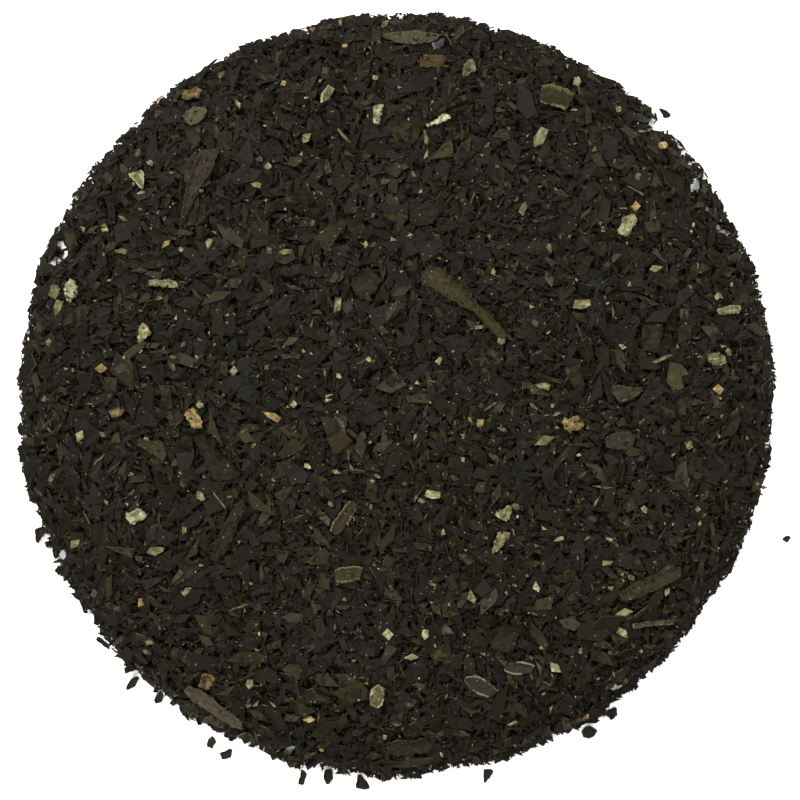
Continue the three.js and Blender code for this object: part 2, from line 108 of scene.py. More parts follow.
frondLook = {"seeThrough": 0.06, "shine": 0.065, "rough": 0.5, "veins": 1.0, "blotches": 0.8}
stemLook = {"seeThrough": 0.06, "shine": 0.14, "rough": 0.62, "veins": 1.1, "blotches": 1.7}
# Each finish's edge colour paints the side faces paler: a paler broken edge and a painted highlight where
# light catches it.
finishes = {
    "darkGreen": {
        "slot": "dark_frond", **frondLook,
        "tones": [(0, (12, 10, 3)), (0.4, (17, 14, 5)), (0.75, (24, 21, 11)), (1, (42, 38, 23))],
        "edge": (72, 69, 46), "glow": (96, 92, 30),
    },
    "darkBrown": {
        "slot": "dark_frond", **frondLook,
        "tones": [(0, (12, 10, 4)), (0.4, (18, 14, 7)), (0.75, (26, 21, 13)), (1, (44, 37, 25))],
        "edge": (74, 66, 49), "glow": (100, 80, 30),
    },
    "darkGrey": {
        "slot": "dark_frond", **frondLook,
        "tones": [(0, (12, 10, 6)), (0.4, (17, 15, 9)), (0.75, (26, 23, 16)), (1, (46, 42, 32))],
        "edge": (86, 82, 64), "glow": (90, 86, 44),
    },
    "olive": {
        "slot": "olive_frond", **frondLook,
        "tones": [(0, (20, 17, 6)), (0.4, (33, 29, 14)), (0.75, (51, 46, 26)), (1, (88, 82, 50))],
        "edge": (98, 92, 60), "glow": (120, 110, 40),
    },
    "brown": {
        "slot": "brown_frond", **frondLook,
        "tones": [(0, (19, 15, 6)), (0.4, (33, 27, 14)), (0.75, (51, 43, 26)), (1, (82, 70, 44))],
        "edge": (94, 80, 58), "glow": (120, 90, 40),
    },
    "grey": {
        "slot": "grey_frond", **frondLook,
        "tones": [(0, (24, 22, 13)), (0.4, (41, 37, 26)), (0.75, (62, 58, 42)), (1, (106, 101, 76))],
        "edge": (116, 111, 84), "glow": (110, 104, 54),
    },
    "pale": {
        "slot": "pale_stem", **stemLook,
        "tones": [(0, (32, 29, 15)), (0.35, (66, 62, 37)), (0.65, (102, 99, 70)), (1, (158, 153, 122))],
        "edge": (136, 132, 100), "glow": (150, 142, 80),
    },
    "tan": {
        "slot": "tan_stem", **stemLook,
        "tones": [(0, (40, 32, 15)), (0.35, (76, 63, 34)), (0.65, (110, 94, 55)), (1, (156, 137, 92))],
        "edge": (136, 119, 80), "glow": (150, 126, 70),
    },
}
materials = {}


def addNode(tree, kind, **sockets):
    node = tree.nodes.new(kind)
    for name, value in sockets.items():
        node.inputs[name.replace("_", " ")].default_value = value
    return node


def mathNode(tree, operation, source, number, addend=None):
    node = tree.nodes.new("ShaderNodeMath")
    node.operation = operation
    tree.links.new(source, node.inputs[0])
    node.inputs[1].default_value = number
    if addend:
        tree.links.new(addend, node.inputs[2])
    return node.outputs["Value"]


def driedFrond(name):
    finish = finishes[name]
    material = bpy.data.materials.new("wakame_" + name)
    material.use_nodes = True
    tree = material.node_tree
    tree.nodes.clear()
    link = tree.links.new

    flakeMap = tree.nodes.new("ShaderNodeUVMap")
    flakeMap.uv_map = "flake"
    lengthwise = addNode(tree, "ShaderNodeMapping", Scale=(0.7, 5, 1))
    veins = addNode(tree, "ShaderNodeTexNoise", Scale=1.6, Detail=3, Roughness=0.6)
    link(flakeMap.outputs["UV"], lengthwise.inputs["Vector"])
    link(lengthwise.outputs["Vector"], veins.inputs["Vector"])
    places = tree.nodes.new("ShaderNodeTexCoord")
    blotches = addNode(tree, "ShaderNodeTexNoise", Scale=1300, Detail=4, Roughness=0.65)
    wrinkles = addNode(tree, "ShaderNodeTexNoise", Scale=3800, Detail=3, Roughness=0.7)
    link(places.outputs["Object"], blotches.inputs["Vector"])
    link(places.outputs["Object"], wrinkles.inputs["Vector"])

    # The flake's own tone, moved a little by its veins and by blotches. Both are about a half in the middle.
    tone = tree.nodes.new("ShaderNodeAttribute")
    tone.attribute_name = "flakeTone"
    veined = mathNode(tree, "MULTIPLY_ADD", veins.outputs["Fac"], finish["veins"], tone.outputs["Fac"])
    blotched = mathNode(tree, "MULTIPLY_ADD", blotches.outputs["Fac"], finish["blotches"], veined)
    centred = mathNode(tree, "SUBTRACT", blotched, (finish["veins"] + finish["blotches"]) / 2)
    ramp = tree.nodes.new("ShaderNodeValToRGB")
    stops = ramp.color_ramp.elements
    for index, (place, colour) in enumerate(finish["tones"]):
        stop = stops[index] if index < 2 else stops.new(place)
        stop.position = place
        stop.color = screen(*colour)
    link(centred, ramp.inputs["Fac"])

    # Fine grains of dried salt.
    salt = addNode(tree, "ShaderNodeTexVoronoi", Scale=1000)
    link(places.outputs["Object"], salt.inputs["Vector"])
    grain = mathNode(tree, "LESS_THAN", salt.outputs["Distance"], 0.08)
    salted = tree.nodes.new("ShaderNodeMixRGB")
    salted.inputs["Color2"].default_value = screen(100, 95, 72)
    link(grain, salted.inputs["Fac"])
    link(ramp.outputs["Color"], salted.inputs["Color1"])

    # Broken edges are paler, and the same paler colour on the side faces is a painted highlight where light
    # catches them.
    edge = tree.nodes.new("ShaderNodeAttribute")
    edge.attribute_name = "flakeEdgeTintAndHighlight"
    edgeTintAndHighlight = tree.nodes.new("ShaderNodeMixRGB")
    edgeTintAndHighlight.inputs["Color2"].default_value = screen(*finish["edge"])
    link(edge.outputs["Fac"], edgeTintAndHighlight.inputs["Fac"])
    link(salted.outputs["Color"], edgeTintAndHighlight.inputs["Color1"])

    wrinkled = addNode(tree, "ShaderNodeBump", Strength=0.5, Distance=0.00006)
    veinedBump = addNode(tree, "ShaderNodeBump", Strength=0.6, Distance=0.00008)
    link(wrinkles.outputs["Fac"], wrinkled.inputs["Height"])
    link(veins.outputs["Fac"], veinedBump.inputs["Height"])
    link(wrinkled.outputs["Normal"], veinedBump.inputs["Normal"])
    satin = tree.nodes.new("ShaderNodeMapRange")
    satin.inputs["To Min"].default_value = finish["rough"] - 0.12
    satin.inputs["To Max"].default_value = finish["rough"] + 0.16
    link(blotches.outputs["Fac"], satin.inputs["Value"])

    frond = tree.nodes.new("ShaderNodeBsdfPrincipled")
    frond.inputs["Specular IOR Level"].default_value = finish["shine"]
    link(edgeTintAndHighlight.outputs["Color"], frond.inputs["Base Color"])
    link(satin.outputs["Result"], frond.inputs["Roughness"])
    link(veinedBump.outputs["Normal"], frond.inputs["Normal"])
    glow = addNode(tree, "ShaderNodeBsdfTranslucent", Color=screen(*finish["glow"]))
    thin = addNode(tree, "ShaderNodeMixShader", Fac=finish["seeThrough"])
    output = tree.nodes.new("ShaderNodeOutputMaterial")
    link(frond.outputs["BSDF"], thin.inputs[1])
    link(glow.outputs["BSDF"], thin.inputs[2])
    link(thin.outputs["Shader"], output.inputs["Surface"])
    materials[name] = material


def setTones(mesh, tones, edges):
    # A tone for each point, and how much each face is a broken edge, painted paler as a paler broken edge
    # and a painted highlight.
    mesh.attributes.new("flakeTone", "FLOAT", "POINT").data.foreach_set("value", tones)
    mesh.attributes.new("flakeEdgeTintAndHighlight", "FLOAT", "FACE").data.foreach_set("value", edges)


def finishPiece(piece, finish, nodes):
    piece.data.materials.clear()
    piece.data.materials.append(materials[finish])
    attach(piece, "root")
    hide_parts(*nodes)


# Modelling helpers. A piece is modelled lying flat, with its length along X.

def startPiece():
    bpy.ops.object.select_all(action="DESELECT")  # so that what follows acts on the new piece alone


def selectWhere(test):
    mesh = bmesh.from_edit_mesh(bpy.context.object.data)
    bpy.ops.mesh.select_all(action="DESELECT")
    chosen = [vertex for vertex in mesh.verts if test(vertex)]
    for vertex in chosen:
        vertex.select = True
    mesh.select_flush(True)
    return bool(chosen)


def bendPast(x, lift, turn, twist):
    # Everything past x turns about it: up or down, sideways, and about its own length.
    side = 1 if x >= 0 else -1
    if selectWhere(lambda vertex: side * vertex.co.x > side * x + 1e-4):
        for axis, angle in (("Y", lift * side), ("Z", turn * side), ("X", twist * side)):
            bpy.ops.transform.rotate(value=angle, orient_axis=axis, center_override=(x, 0, 0))


def applyModifier(kind, **settings):
    modifier = bpy.context.object.modifiers.new("step", kind)
    for name, value in settings.items():
        setattr(modifier, name, value)
    bpy.ops.object.modifier_apply(modifier=modifier.name)


def asTriangles():
    bpy.ops.object.mode_set(mode="EDIT")
    bpy.ops.mesh.select_all(action="SELECT")
    bpy.ops.mesh.normals_make_consistent(inside=False)
    bpy.ops.mesh.quads_convert_to_tris()
    bpy.ops.object.mode_set(mode="OBJECT")


def along(profile, share):
    # The value that a list of even steps has at a share of the way from its first to its last.
    place = share * (len(profile) - 1)
    first = min(max(int(place), 0), len(profile) - 2)
    return profile[first] + (profile[first + 1] - profile[first]) * (place - first)


# Small flakes: a few dozen are modelled, one long, and thousands of copies of them make the bed.

flakeShapes = {
    # how many models, corners, width, how uneven the outline and how much of that is up and down,
    # folds and how sharp they are, thickness; all for a flake one long
    "sheet": {"models": 8, "corners": (4, 5), "width": 0.5, "uneven": 0.2, "flat": 0.14,
              "folds": 1, "sharp": 0.16, "thick": 0.035},
    "plate": {"models": 8, "corners": (4, 5), "width": 0.6, "uneven": 0.2, "flat": 0.3,
              "folds": 1, "sharp": 0.3, "thick": 0.045},
    "shard": {"models": 8, "corners": (3, 4), "width": 0.38, "uneven": 0.15, "flat": 0.3,
              "folds": 1, "sharp": 0.35, "thick": 0.045},
    "splinter": {"models": 6, "corners": (4, 4), "width": 0.16, "uneven": 0.05, "flat": 0.6,
                 "folds": 2, "sharp": 0.22, "thick": 0.035},
    "curl": {"models": 5, "corners": (5, 6), "width": 0.45, "uneven": 0.1, "flat": 0.6,
             "folds": 3, "sharp": 0.7, "thick": 0.045},
    "speck": {"models": 6, "corners": (3, 4), "width": 0.6, "uneven": 0.16, "flat": 0.5,
              "folds": 0, "sharp": 0, "thick": 0.12},
    "chunk": {"models": 10, "corners": (4, 5), "width": 0.62, "uneven": 0.22, "flat": 0.6,
              "folds": 1, "sharp": 0.3, "thick": 0.2},
}
mixedShares = {"plate": 0.22, "shard": 0.42, "splinter": 0.28, "curl": 0.08}
flakeModels = {kind: [] for kind in flakeShapes}


def modelFlake(kind, draw):
    shape = flakeShapes[kind]
    startPiece()
    bpy.ops.mesh.primitive_circle_add(
        vertices=draw.randint(*shape["corners"]), radius=0.5, fill_type="NGON",
        rotation=(0, 0, draw.uniform(0, math.pi)))
    bpy.ops.object.transform_apply(location=False)
    bpy.ops.object.mode_set(mode="EDIT")
    bpy.ops.transform.resize(value=(1, shape["width"], 1))
    bpy.ops.transform.vertex_random(offset=shape["uneven"], uniform=0, normal=0, seed=draw.randrange(10000))
    bpy.ops.transform.resize(value=(1, 1, shape["flat"]))
    evenly = [(index + 1) / (shape["folds"] + 1) - 0.5 for index in range(shape["folds"])]
    folds = [place + draw.uniform(-0.07, 0.07) for place in evenly]
    for x in folds:
        bpy.ops.mesh.select_all(action="SELECT")
        bpy.ops.mesh.bisect(plane_co=(x, 0, 0), plane_no=(1, draw.uniform(-0.5, 0.5), 0), threshold=1e-5)
    for x in folds:
        bendPast(x, -shape["sharp"] * draw.uniform(0.2, 1), 0, draw.uniform(-0.3, 0.3))
    bpy.ops.object.mode_set(mode="OBJECT")
    applyModifier("SOLIDIFY", thickness=shape["thick"], offset=0)
    asTriangles()
    keepModel(kind)


def keepModel(kind):
    # The modelled flake as plain lists: points, triangles, which of those are broken edge, and its outline.
    mesh = bpy.context.object.data
    points = np.array([v.co for v in mesh.vertices])
    outline = bmesh.new()
    for x, y in points[:, :2]:
        outline.verts.new((x, y, 0))
    hull = bmesh.ops.convex_hull(outline, input=outline.verts)["geom"]
    rim = sorted([v.co.to_2d() for v in hull if isinstance(v, bmesh.types.BMVert)],
                 key=lambda place: math.atan2(place.y, place.x))
    outline.free()
    flakeModels[kind].append({
        "points": points,
        "triangles": np.array([p.vertices[:] for p in mesh.polygons]),
        "edges": np.array([abs(p.normal.z) < 0.45 for p in mesh.polygons]),
        "rim": np.array(rim),
        "thick": flakeShapes[kind]["thick"],
        "width": flakeShapes[kind]["width"],
    })
    bpy.ops.object.delete()


def modelAllFlakes():
    draw = random.Random(3)
    for kind, shape in flakeShapes.items():
        for _ in range(shape["models"]):
            modelFlake(kind, draw)
        print("model:", kind, [len(m["triangles"]) for m in flakeModels[kind]])


# Larger pieces. Each takes the place of its CAD node.

profiles = {
    # width along the length, as shares of the widest
    "strip": [0.5, 0.85, 1, 0.95, 1, 0.9, 0.95, 0.8, 0.45],
    "twisted": [0.55, 1, 1, 0.95, 0.9, 0.75, 0.5, 0.32, 0.5, 0.55, 0.4, 0.2],
    "leaf": [0.15, 0.65, 0.95, 1, 0.9, 0.7, 0.35],
    "chip": [0.75, 1, 0.95, 1, 0.7],
    "tapered": [0.15, 0.4, 0.6, 0.85, 1, 0.9],
    "oval": [0.45, 0.85, 1, 1, 0.85, 0.4],
    "stick": [0.7, 0.95, 0.8, 1, 0.9, 1],
    "bent": [0.6, 1, 0.7, 0.9, 1, 0.5],
}
sorts = {
    # size of the mesh's cells, thickness, crumple, ragged edge, up and down waves, sideways bends,
    # twist, curled edges, and how much paler its broken edge is painted: paler colour and painted highlight
    "frond": {"cell": 0.3, "thick": 0.18, "crumple": 0.45, "ragged": 0.08,
              "lift": 0.16, "turn": 0.07, "twist": 0.16, "curl": 0.3, "edge": 0.3},
    "rimmed": {"cell": 0.24, "thick": 0.2, "crumple": 0.3, "ragged": 0.05,
               "lift": 0.06, "turn": 0.03, "twist": 0.05, "curl": 0.45, "edge": 0.55},
    "stem": {"cell": 0.17, "thick": 0.45, "crumple": 0.7, "ragged": 0.11,
             "lift": 0.08, "turn": 0.1, "twist": 0.08, "curl": 0.1, "edge": 0.3},
}
largePieces = {
    # sort, profile, finish, length, width, turn in degrees, tone
    "frond_strip_middle": ("frond", "twisted", "olive", 14.2, 2.6, -38, 0.45),
    "frond_strip_left": ("frond", "tapered", "darkGreen", 7.4, 3.0, -48, 0.65),
    "frond_strip_upper_left": ("frond", "tapered", "darkBrown", 10.4, 2.6, 64, 0.85),
    "frond_strip_lower_left": ("frond", "strip", "olive", 8.8, 1.8, 64, 0.02),
    "frond_strip_lower_right": ("frond", "strip", "darkGreen", 9.0, 2.0, 21, 0.86),
    "frond_strip_lower_edge": ("frond", "strip", "grey", 9.2, 2.0, -36, 0.55),
    "frond_leaf_top": ("frond", "leaf", "grey", 7.4, 2.0, -2, 0.55),
    "frond_leaf_low": ("rimmed", "leaf", "grey", 4.6, 2.1, -25, 0.12),
    "frond_leaf_low_right": ("rimmed", "oval", "grey", 3.9, 1.7, -5, 0.12),
    "frond_leaf_round": ("frond", "oval", "darkGreen", 4.0, 3.5, 20, 0.6),
    "frond_chip_top": ("frond", "chip", "brown", 3.4, 1.8, 4, 0.6),
    "frond_chip_upper_right": ("rimmed", "chip", "olive", 4.3, 2.8, -8, 0.35),
    "frond_chip_red_brown": ("frond", "chip", "brown", 3.9, 3.0, 8, 0),
    "frond_chip_upper_middle": ("frond", "tapered", "olive", 3.7, 1.7, 25, 0.5),
    "frond_chip_centre": ("frond", "oval", "darkGreen", 3.8, 3.2, 30, 0.7),
    "frond_chip_right": ("frond", "tapered", "grey", 3.9, 2.3, 190, 0.35),
    "frond_chip_left": ("frond", "tapered", "olive", 4.2, 2.4, -25, 0.4),
    "frond_chip_rimmed": ("rimmed", "strip", "olive", 5.0, 1.7, 56, 0.35),
    "frond_chip_pale_rimmed": ("rimmed", "chip", "olive", 3.6, 1.9, 5, 0.45),
    "frond_chip_right_high": ("frond", "chip", "olive", 3.7, 2.7, 80, 0.08),
    "frond_chip_right_low": ("frond", "oval", "grey", 4.1, 2.3, 10, 0.22),
    "frond_chip_right_edge": ("frond", "leaf", "olive", 3.9, 1.6, 50, 0),
    "frond_chip_upper_left": ("frond", "chip", "grey", 3.0, 2.3, 40, 0.62),
    "frond_chip_lower_edge": ("frond", "strip", "brown", 6.4, 2.4, 4, 0.2),
    "stem_bit_top": ("stem", "tapered", "pale", 2.3, 1.8, 50, 0.36),
    "stem_bit_upper_middle": ("stem", "stick", "pale", 2.6, 1.0, 80, 0.6),
    "stem_bit_silvery": ("stem", "tapered", "pale", 3.2, 0.9, 25, 0.75),
    "stem_bit_upper_left": ("stem", "bent", "tan", 2.5, 1.4, 8, 0.32),
    "stem_bit_left_high": ("rimmed", "tapered", "pale", 2.7, 1.7, 120, 0.5),
    "stem_stick_left": ("stem", "stick", "pale", 3.7, 0.9, -5, 0.53),
    "stem_bit_leafy_left": ("stem", "leaf", "pale", 2.9, 1.7, 80, 0.72),
    "stem_bit_round_left": ("stem", "tapered", "pale", 2.3, 1.7, 60, 0.62),
    "stem_bit_pink_left": ("stem", "strip", "tan", 2.7, 1.6, -65, 0.55),
    "stem_bit_low_left": ("stem", "bent", "pale", 2.3, 1.7, 30, 0.6),
    "stem_bit_cream_right": ("stem", "bent", "pale", 2.9, 1.8, 70, 0.58),
    "stem_stick_right": ("stem", "stick", "pale", 3.4, 1.0, 5, 0.52),
    "stem_bit_oval_right": ("stem", "oval", "pale", 2.4, 1.5, -4, 0.42),
    "stem_bit_star_right": ("stem", "bent", "tan", 2.5, 1.9, 15, 0.42),
    "stem_bit_low_middle": ("stem", "tapered", "pale", 2.2, 1.9, 230, 0.45),
    "stem_bit_striped": ("stem", "tapered", "pale", 3.2, 1.5, 60, 0.46),
    "stem_bit_rimmed_low": ("rimmed", "oval", "pale", 2.9, 1.9, 70, 0.35),
    "stem_bit_orange_low": ("stem", "chip", "tan", 2.2, 1.6, 70, 0.15),
    "stem_stick_low_right": ("stem", "stick", "pale", 5.7, 0.6, 3, 0.05),
    "spilled_flake_1": ("frond", "leaf", "darkGreen", 2.1, 1.3, 80, 0.6),
    "spilled_flake_2": ("frond", "tapered", "darkBrown", 2.1, 1.8, -80, 0.6),
    "spilled_flake_3": ("frond", "stick", "darkGreen", 1.9, 0.8, 75, 0.6),
    "spilled_flake_4": ("frond", "chip", "darkGreen", 1.7, 1.1, 25, 0.6),
    "spilled_flake_5": ("frond", "chip", "olive", 1.5, 1.0, 70, 0.2),
    "spilled_flake_6": ("frond", "leaf", "darkGreen", 1.7, 1.1, 60, 0.7),
    "spilled_flake_7": ("frond", "leaf", "darkBrown", 2.3, 0.9, 45, 0.6),
    "spilled_flake_8": ("frond", "stick", "olive", 2.1, 0.6, -35, 0.2),
    "spilled_flake_9": ("frond", "tapered", "olive", 2.3, 1.6, 70, 0.15),
    "spilled_flake_10": ("frond", "chip", "darkGrey", 1.6, 1.2, 45, 0.6),
    "spilled_flake_11": ("frond", "oval", "darkGreen", 2.0, 1.6, 20, 0.6),
    "spilled_flake_12": ("frond", "tapered", "darkGrey", 2.0, 1.3, 65, 0.6),
    "spilled_flake_13": ("frond", "chip", "darkBrown", 0.9, 0.8, 60, 0.5),
    "spilled_flake_14": ("frond", "tapered", "darkGreen", 1.7, 1.0, -45, 0.6),
}
crumples = bpy.data.textures.new("crumple", "CLOUDS")
crumples.noise_scale = 0.8
crumples.noise_depth = 2


def modelLarge(sort, profile, length, width, draw):
    startPiece()
    rows = max(4, round(width / sort["cell"]))
    columns = max(6, round(length / sort["cell"]))
    bpy.ops.mesh.primitive_grid_add(x_subdivisions=columns, y_subdivisions=rows, size=1)
    bpy.ops.object.mode_set(mode="EDIT")
    bpy.ops.transform.resize(value=(length, width, 1))

    # Its edges curl up or down, then each step of its length gets its own width, raggedness and sway.
    for row in range(rows + 1):
        share = row / rows * 2 - 1
        selectWhere(lambda vertex: abs(vertex.co.y - share * width / 2) < 1e-3)
        lift = draw.choice((0.4, 1)) * sort["curl"] * share ** 2 * width / 2
        bpy.ops.transform.translate(value=(0, 0, lift))
    phase, swing = draw.uniform(0, 6), draw.uniform(0.03, 0.07) * width
    for column in range(columns + 1):
        share = column / columns
        x = (share - 0.5) * length
        wide = along(profile, share) * (1 + draw.uniform(-1.4, 1) * sort["ragged"])
        selectWhere(lambda vertex: abs(vertex.co.x - x) < 1e-3)
        bpy.ops.transform.resize(value=(1, wide, 1), center_override=(x, 0, 0))
        sway = swing * math.sin(5 * share + phase) + draw.uniform(-1, 1) * 0.03
        bpy.ops.transform.translate(value=(0, sway, 0))
    if selectWhere(lambda vertex: vertex.is_boundary):
        bpy.ops.transform.vertex_random(offset=sort["ragged"], uniform=0, normal=0,
                                        seed=draw.randrange(10000))
    cut = draw.uniform(0.3, 0.9) * draw.choice((-1, 1))
    bpy.ops.mesh.select_all(action="SELECT")
    bpy.ops.mesh.bisect(plane_co=(length * 0.47, 0, 0), plane_no=(1, cut, 0), clear_outer=True,
                        threshold=1e-5)
    bends = max(2, round(length / 1.6))
    for index in range(bends):
        x = ((index + 0.5) / bends - 0.5) * length
        bendPast(x, sort["lift"] * draw.uniform(-1, 1), sort["turn"] * draw.uniform(-1, 1),
                 sort["twist"] * draw.uniform(-1, 1))
    bpy.ops.object.mode_set(mode="OBJECT")
    applyModifier("DISPLACE", texture=crumples, strength=sort["crumple"], mid_level=0.5)
    applyModifier("SOLIDIFY", thickness=sort["thick"], offset=0)
    asTriangles()


def addLargePiece(node, plane, draw):
    sortName, profile, finish, length, width, turn, tone = largePieces[node]
    modelLarge(sorts[sortName], profiles[profile], length, width, draw)
    piece = bpy.context.object
    piece.name = "wakame_" + node
    mesh = piece.data
    mesh.name = piece.name
    for layer in list(mesh.uv_layers):
        mesh.uv_layers.remove(layer)
    shift = plane["middle"]
    flakeMap = mesh.uv_layers.new(name="flake")
    flakeMap.data.foreach_set("uv", [c for loop in mesh.loops for c in (
        mesh.vertices[loop.vertex_index].co.x + shift[0], mesh.vertices[loop.vertex_index].co.y + shift[1])])
    # Side faces are painted paler: a paler broken edge and a painted highlight.
    edges = [sorts[sortName]["edge"] if abs(p.normal.z) < 0.5 else 0 for p in mesh.polygons]
    if sortName == "rimmed":
        # A paler band along both sides.
        for index, face in enumerate(mesh.polygons):
            across = width * along(profiles[profile], 0.5 + face.center.x / length)
            if abs(face.center.y) > 0.42 * across:
                edges[index] = 0.5
    setTones(mesh, [tone] * len(mesh.vertices), edges)

    # Settled into the plane that the underside of its node lies on. A twelfth of its points sink under
    # that, and none under the surface.
    slopes = plane["slopes"]
    normal = Vector((-slopes[0], -slopes[1], 1)).normalized()
    lean = Vector((0, 0, 1)).rotation_difference(normal).to_matrix().to_4x4()
    heading = Matrix.Rotation(math.radians(turn), 4, "Z")
    mesh.transform(Matrix.Translation(shift) @ lean @ heading)
    heights = sorted(v.co.z - slopes[0] * (v.co.x - shift[0]) - slopes[1] * (v.co.y - shift[1]) - shift[2]
                     for v in mesh.vertices)
    down = -heights[len(heights) // 12] - 0.05
    down += max(0, 0.02 - min(v.co.z + down for v in mesh.vertices))
    mesh.transform(Matrix.Scale(mm, 4) @ Matrix.Translation((0, 0, down)))
    finishPiece(piece, finish, (node,))
    return piece


# The bed's form, over a grid

bed = {
    "radius": 50.3,
    "spread": 0.9,  # farther out where the flakes lie loosest
    "offCentre": 0.25,
    "middle": 5.75,
    "edge": 0.8,
    "slope": 9,
    "swell": 0.3,
    # how far flakes may stand up over the form: the bed itself, broad flakes on it, and what lies on top
    "room": {"bed": 1, "broad": 1.2, "top": 1.9},
    "seenDepth": 0.6,  # flakes deeper than this under the top are left out
    "looseEdge": 5,  # except this near the edge
}
# Places near the edge where the ground shows through.
bareSpots = [  # x, y and radius
    (4.8, 45.9, 0.5), (5.5, 46.6, 0.4), (-45, 19.4, 0.5), (-44.6, 18.1, 0.35), (-46, 17.2, 0.45),
    (-44.9, -21.9, 0.5), (34.4, 35.2, 0.6), (33.6, 35.4, 0.4), (39.5, 27.3, 0.6), (41.2, 24.3, 0.4),
    (42.3, 22, 0.4), (-14.4, -47.6, 0.5), (-40.6, -26.9, 0.4), (-20.3, -44.6, 0.35),
    (28.9, -39.6, 0.4), (43.3, 21.2, 0.3), (-46.6, 14.8, 0.3), (44.6, 15, 0.3),
]
gridStep = 0.25
gridHalf = 220
gridLine = np.arange(-gridHalf, gridHalf + 1) * gridStep
gridX, gridY = np.meshgrid(gridLine, gridLine, indexing="ij")


def looseness(x, y):
    # The flakes lie loosest along the lower left of the edge.
    return np.clip(1.6 * np.cos(np.arctan2(y, x) + math.radians(110)) - 0.3, 0, 1)


def rimAt(x, y):
    # A little out of round, with small notches.
    angle = np.arctan2(y, x)
    lobes = bed["spread"] * looseness(x, y) - bed["offCentre"] * np.cos(angle + math.radians(20))
    notches = 0.22 * np.sin(7 * angle + 1) * np.sin(3 * angle)
    notches = notches + 0.16 * np.sin(23 * angle) + 0.1 * np.sin(61 * angle)
    return bed["radius"] + lobes + notches * (1 + looseness(x, y))


def bedTop(x, y):
    inside = np.clip((rimAt(x, y) - np.hypot(x, y)) / bed["slope"], 0, 1)
    swell = bed["swell"] * np.sin(x / 9 + 1) * np.cos(y / 11)
    return bed["edge"] + (bed["middle"] - bed["edge"] + swell) * np.sin(inside * math.pi / 2)


def heightsOf(thing, fromBelow):
    # Where rays up or down the grid's lines strike a thing: column, row and height.
    corners = [Vector(corner) / mm / gridStep for corner in thing.bound_box]
    hits = []
    for column in range(int(min(c.x for c in corners)) - 1, int(max(c.x for c in corners)) + 2):
        for row in range(int(min(c.y for c in corners)) - 1, int(max(c.y for c in corners)) + 2):
            start = (column * gridStep * mm, row * gridStep * mm, -0.02 if fromBelow else 0.02)
            struck, place, _, _ = thing.ray_cast(start, (0, 0, 1 if fromBelow else -1))
            if struck:
                hits.append((column + gridHalf, row + gridHalf, place.z / mm))
    return hits


def restingPlane(hits):
    columns, rows, heights = np.array(hits).T
    places = np.stack([gridLine[columns.astype(int)], gridLine[rows.astype(int)]], axis=1)
    middle = places.mean(axis=0)
    slopes = np.linalg.lstsq(places - middle, heights - heights.mean(), rcond=None)[0]
    return {"middle": Vector((*middle, heights.mean())), "slopes": slopes}


# Piling: each flake comes to rest on what is already under it, leaning as that does and a little more.

pile = {"heights": np.zeros(gridX.shape), "ceiling": None}
settling = {
    "follow": 0.8,  # share of the slope under it that a flake takes
    "stiffness": 0.3,  # keeps a small flake level where few points are under it
    "steepest": 0.7,
    "onPeaks": 0.6,  # rests this much on the highest point under it, and otherwise on their mean
    "lowest": 0.01,
}


def underFlake(flake):
    # The grid's points under a flake: a slice of the grid, which of its points, and how far they are
    # from the flake's middle.
    x, y = flake["place"][:2]
    reach = flake["size"] * 0.7 + gridStep
    first = [max(0, int((c - reach) / gridStep) + gridHalf) for c in (x, y)]
    last = [min(2 * gridHalf, int((c + reach) / gridStep) + gridHalf + 1) for c in (x, y)]
    part = (slice(first[0], last[0] + 1), slice(first[1], last[1] + 1))
    dx, dy = gridX[part] - x, gridY[part] - y
    cos, sin = math.cos(flake["heading"]), math.sin(flake["heading"])
    turned = np.array([[cos, sin], [-sin, cos]])
    rim = flake["model"]["rim"] * (flake["size"], flake["size"] * flake["stretch"]) @ turned
    inside = np.ones(dx.shape, bool)
    for (px, py), (qx, qy) in zip(rim, np.roll(rim, -1, axis=0)):
        sx, sy = qx - px, qy - py
        inside &= sx * (dy - py) - sy * (dx - px) >= -0.1 * math.hypot(sx, sy)
    return part, inside, dx[inside], dy[inside]


def restFlake(flake, draw, lean):
    part, inside, dx, dy = underFlake(flake)
    if len(dx) < 1:
        return False
    ground = pile["heights"][part][inside]
    level = ground - ground.mean()
    spread = np.array([[dx @ dx, dx @ dy], [dx @ dy, dy @ dy]]) + settling["stiffness"] * np.eye(2)
    slopes = np.linalg.solve(spread, np.array([dx @ level, dy @ level])) * settling["follow"]
    slopes = slopes + [draw.gauss(0, lean), draw.gauss(0, lean)]
    slopes = np.clip(slopes, -settling["steepest"], settling["steepest"])
    leaning = slopes[0] * dx + slopes[1] * dy
    gaps = ground - leaning
    thick = flake["model"]["thick"] * flake["size"]
    flake["slopes"] = slopes
    rest = settling["onPeaks"] * gaps.max() + (1 - settling["onPeaks"]) * gaps.mean()
    flake["place"] = (*flake["place"][:2], rest + thick / 2)
    lowest = placedPoints(flake)[:, 2].min()
    flake["place"] = (*flake["place"][:2], flake["place"][2] + max(0, settling["lowest"] - lowest))
    top = flake["place"][2] + leaning + thick / 2
    if (top > pile["ceiling"][part][inside]).any():
        return False
    pile["heights"][part][inside] = np.maximum(ground, top)
    return True


def placedPoints(flake):
    # Heading about Z, then leaning as its plane does.
    normal = Vector((-flake["slopes"][0], -flake["slopes"][1], 1)).normalized()
    lean = Vector((0, 0, 1)).rotation_difference(normal).to_matrix()
    turned = np.array(lean @ Matrix.Rotation(flake["heading"], 3, "Z"))
    shares = np.array((1, flake["stretch"], -1 if flake["over"] else 1)) * flake["size"]
    return (flake["model"]["points"] * shares) @ turned.T + flake["place"]


